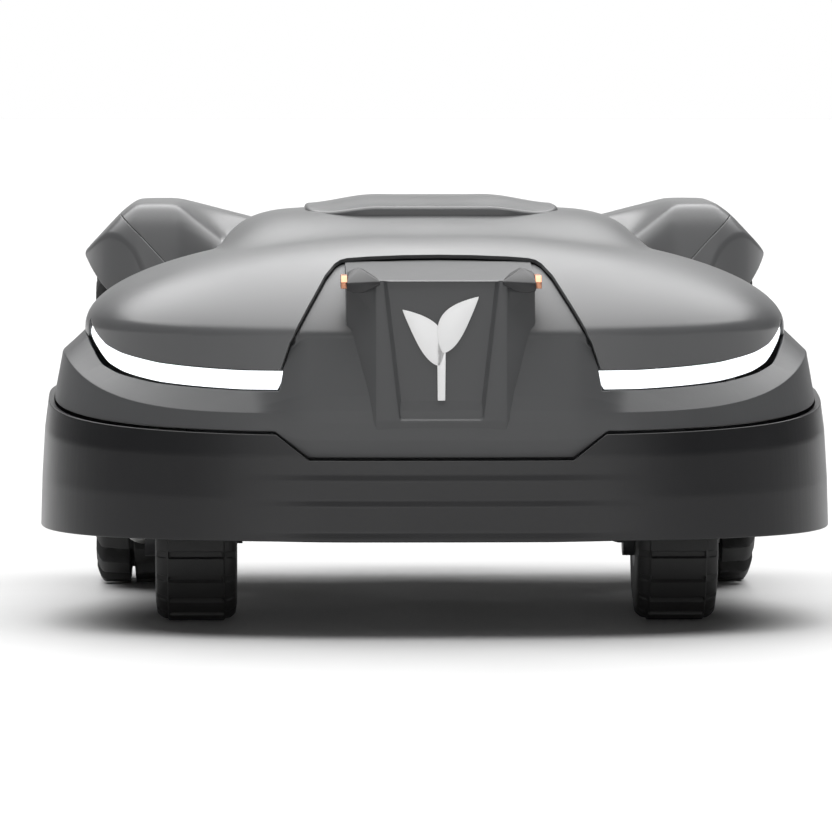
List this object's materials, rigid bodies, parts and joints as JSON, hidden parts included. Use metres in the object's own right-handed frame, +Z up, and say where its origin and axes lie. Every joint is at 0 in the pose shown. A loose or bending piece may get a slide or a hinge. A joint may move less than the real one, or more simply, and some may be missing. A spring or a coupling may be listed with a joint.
{
  "type": "robotic lawn mower",
  "caption": "Low four-wheeled robotic lawn mower with a floating grey cover, front lamps, bumper skirt, swivelling front casters, lugged rear wheels and a height-adjustable blade disc.",
  "frame": {"origin": "on the ground at the centre of the machine's footprint", "axes": "nose to -Y, +X to the right of someone facing the nose, +Z up"},
  "size_m": [0.568, 0.7, 0.3],
  "materials": {
    "badge_black": "gloss black with white emblem",
    "black_plastic": "matte black",
    "board_green": "laminate",
    "contact_copper": "plain copper alloy",
    "cover_grey": "semi-gloss moulded, dark grey",
    "disc_mould": "moulded, charcoal",
    "inner_plastic": "moulded, charcoal",
    "lamp_white": "frosted clear lens",
    "motor_metal": "cast",
    "panel_grey": "fine grain, dark grey",
    "screen": "dark window",
    "soft_rubber": "soft rubber",
    "steel": "brushed",
    "stop_red": "gloss red",
    "tyre_rubber": "moulded rubber",
    "wheel_plastic": "moulded, dark grey"
  },
  "bodies": {
    "chassis": {"chassis_tub": "inner_plastic", "lid_gasket": "soft_rubber", "chassis_lid": "inner_plastic", "battery_pack": "inner_plastic", "main_board": "board_green", "loop_sensor_board": "board_green", "gearmotor_left": "motor_metal", "gearmotor_right": "motor_metal", "height_motor": "motor_metal", "deck_guide_posts": "steel", "suspension_posts": "soft_rubber", "carry_handle": "inner_plastic", "control_panel": "black_plastic", "display_window": "screen"},
    "shell_carrier": {"carrier_frame": "inner_plastic"},
    "cover": {"top_cover": "cover_grey", "rear_fender_left": "cover_grey", "rear_fender_right": "cover_grey", "bumper": "black_plastic", "front_panel": "panel_grey", "contact_blocks": "black_plastic", "contact_plates": "contact_copper", "badge": "badge_black", "lamp_left": "lamp_white", "lamp_right": "lamp_white", "lamp_boards": "board_green", "hatch_pin": "steel", "stop_cup": "black_plastic"},
    "hatch_lid": {"hatch": "cover_grey"},
    "stop_plunger": {"stop_button": "stop_red"},
    "knob": {"jog_knob": "black_plastic"},
    "rocker": {"power_switch": "black_plastic"},
    "key_a": {"key_1": "panel_grey"},
    "key_b": {"key_2": "panel_grey"},
    "key_c": {"key_3": "panel_grey"},
    "deck": {"deck_carriage": "inner_plastic", "cutting_motor": "motor_metal"},
    "disc": {"blade_disc": "disc_mould", "disc_shaft": "steel", "blade_screws": "steel"},
    "blade_a": {"blade_1": "steel"},
    "blade_b": {"blade_2": "steel"},
    "blade_c": {"blade_3": "steel"},
    "skid": {"skid_plate": "disc_mould"},
    "screw": {"height_screw": "steel"},
    "rear_wheel_left": {"wheel_tyre_left": "tyre_rubber", "wheel_rim_left": "wheel_plastic", "wheel_hubcap_left": "wheel_plastic", "wheel_shaft_left": "steel"},
    "caster_swivel_left": {"caster_fork_left": "steel"},
    "caster_wheel_left": {"caster_rim_left": "wheel_plastic", "caster_tyre_left": "tyre_rubber"},
    "rear_wheel_right": {"wheel_tyre_right": "tyre_rubber", "wheel_rim_right": "wheel_plastic", "wheel_hubcap_right": "wheel_plastic", "wheel_shaft_right": "steel"},
    "caster_swivel_right": {"caster_fork_right": "steel"},
    "caster_wheel_right": {"caster_rim_right": "wheel_plastic", "caster_tyre_right": "tyre_rubber"}
  },
  "joints": [
    {"name": "cover_bump", "type": "slide", "parent": "chassis", "child": "shell_carrier", "axis": [0, 1, 0], "range_m": [-0.006, 0.006], "stiffness_N_per_m": 9000},
    {"name": "cover_lift", "type": "slide", "parent": "shell_carrier", "child": "cover", "axis": [0, 0, 1], "range_m": [0, 0.008]},
    {"name": "hatch_hinge", "type": "hinge", "parent": "cover", "child": "hatch_lid", "pos_m": [0, 0.062, 0.294], "axis": [-1, 0, 0], "range_deg": [0, 75]},
    {"name": "stop_press", "type": "slide", "parent": "cover", "child": "stop_plunger", "axis": [0, 0, -1], "range_m": [0, 0.004], "stiffness_N_per_m": 2500, "springref_m": -0.001},
    {"name": "jog_turn", "type": "hinge", "parent": "chassis", "child": "knob", "pos_m": [0.024, 0.028, 0.268], "axis": [0, 0, 1], "continuous": true},
    {"name": "power_rock", "type": "hinge", "parent": "chassis", "child": "rocker", "pos_m": [-0.038, 0.028, 0.2614], "axis": [1, 0, 0], "range_deg": [-8, 8]},
    {"name": "key_1_press", "type": "slide", "parent": "chassis", "child": "key_a", "axis": [0, 0, -1], "range_m": [0, 0.0012], "stiffness_N_per_m": 900, "springref_m": -0.0006},
    {"name": "key_2_press", "type": "slide", "parent": "chassis", "child": "key_b", "axis": [0, 0, -1], "range_m": [0, 0.0012], "stiffness_N_per_m": 900, "springref_m": -0.0006},
    {"name": "key_3_press", "type": "slide", "parent": "chassis", "child": "key_c", "axis": [0, 0, -1], "range_m": [0, 0.0012], "stiffness_N_per_m": 900, "springref_m": -0.0006},
    {"name": "rear_wheel_left_turn", "type": "hinge", "parent": "chassis", "child": "rear_wheel_left", "pos_m": [-0.2, 0.19, 0.125], "axis": [1, 0, 0], "continuous": true},
    {"name": "caster_left_swivel", "type": "hinge", "parent": "chassis", "child": "caster_swivel_left", "pos_m": [-0.1715, -0.203, 0.168], "axis": [0, 0, 1], "continuous": true},
    {"name": "caster_left_turn", "type": "hinge", "parent": "caster_swivel_left", "child": "caster_wheel_left", "pos_m": [-0.1715, -0.175, 0.06], "axis": [1, 0, 0], "continuous": true},
    {"name": "rear_wheel_right_turn", "type": "hinge", "parent": "chassis", "child": "rear_wheel_right", "pos_m": [0.2, 0.19, 0.125], "axis": [1, 0, 0], "continuous": true},
    {"name": "caster_right_swivel", "type": "hinge", "parent": "chassis", "child": "caster_swivel_right", "pos_m": [0.1715, -0.203, 0.168], "axis": [0, 0, 1], "continuous": true},
    {"name": "caster_right_turn", "type": "hinge", "parent": "caster_swivel_right", "child": "caster_wheel_right", "pos_m": [0.1715, -0.175, 0.06], "axis": [1, 0, 0], "continuous": true},
    {"name": "deck_height", "type": "slide", "parent": "chassis", "child": "deck", "axis": [0, 0, 1], "range_m": [-0.04, 0]},
    {"name": "height_screw_turn", "type": "hinge", "parent": "chassis", "child": "screw", "pos_m": [0, 0.037, 0.15], "axis": [0, 0, 1], "continuous": true},
    {"name": "disc_spin", "type": "hinge", "parent": "deck", "child": "disc", "pos_m": [0, -0.015, 0.0635], "axis": [0, 0, 1], "continuous": true},
    {"name": "blade_1_swing", "type": "hinge", "parent": "disc", "child": "blade_a", "pos_m": [0, 0.077, 0.0608], "axis": [0, 0, 1], "continuous": true},
    {"name": "blade_2_swing", "type": "hinge", "parent": "disc", "child": "blade_b", "pos_m": [-0.07967, -0.061, 0.0608], "axis": [0, 0, 1], "continuous": true},
    {"name": "blade_3_swing", "type": "hinge", "parent": "disc", "child": "blade_c", "pos_m": [0.07967, -0.061, 0.0608], "axis": [0, 0, 1], "continuous": true},
    {"name": "skid_spin", "type": "hinge", "parent": "disc", "child": "skid", "pos_m": [0, -0.015, 0.053], "axis": [0, 0, 1], "continuous": true}
  ],
  "couplings": [
    {"joint": "height_screw_turn", "follows": "deck_height", "rad_per_m": 314.16}
  ]
}
